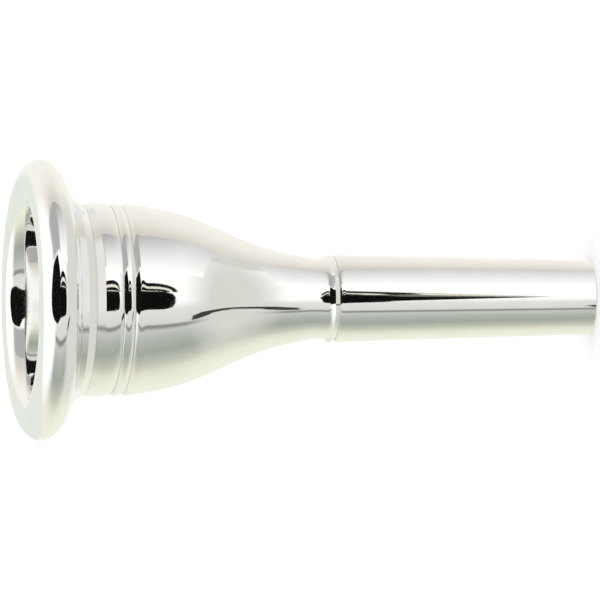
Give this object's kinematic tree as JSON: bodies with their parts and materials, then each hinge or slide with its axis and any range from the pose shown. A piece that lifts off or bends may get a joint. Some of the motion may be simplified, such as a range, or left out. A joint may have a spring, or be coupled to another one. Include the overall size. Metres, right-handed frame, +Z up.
{
  "type": "low-brass instrument mouthpiece",
  "caption": "Silver-plated low-brass mouthpiece with a rounded rim, ringed bulb-shaped cup and tapered shank; rim, cup and shank unscrew.",
  "frame": {"origin": "centre of the shank's end face, on the axis of the bore", "axes": "+Z runs up the bore from the shank's small end to the rim; X and Y are free, because every outside surface is turned about Z"},
  "size_m": [0.044, 0.044, 0.0906],
  "materials": {
    "silver_plate": "brass turned and polished, then silver plated to a mirror finish",
    "seal_rubber": "black nitrile rubber, satin"
  },
  "bodies": {
    "shank_body": {"shank": "silver_plate"},
    "shank_seal_body": {"shank_seal": "seal_rubber"},
    "cup_body": {"cup": "silver_plate"},
    "rim_seal_body": {"rim_seal": "seal_rubber"},
    "rim_body": {"rim": "silver_plate"}
  },
  "joints": [
    {"name": "cup_turn", "type": "hinge", "parent": "shank_body", "child": "shank_seal_body", "pos_m": [0, 0, 0.04112], "axis": [0, 0, 1], "range_deg": [0, 1800]},
    {"name": "cup_lift", "type": "slide", "parent": "shank_seal_body", "child": "cup_body", "axis": [0, 0, 1], "range_m": [0, 0.00375]},
    {"name": "rim_lift", "type": "slide", "parent": "cup_body", "child": "rim_seal_body", "axis": [0, 0, 1], "range_m": [0, 0.004]},
    {"name": "rim_turn", "type": "hinge", "parent": "rim_seal_body", "child": "rim_body", "pos_m": [0, 0, 0.07675], "axis": [0, 0, 1], "range_deg": [0, 1440]}
  ],
  "couplings": [
    {"joint": "cup_lift", "follows": "cup_turn", "m_per_rad": 0.00011937},
    {"joint": "rim_lift", "follows": "rim_turn", "m_per_rad": 0.00015915}
  ]
}
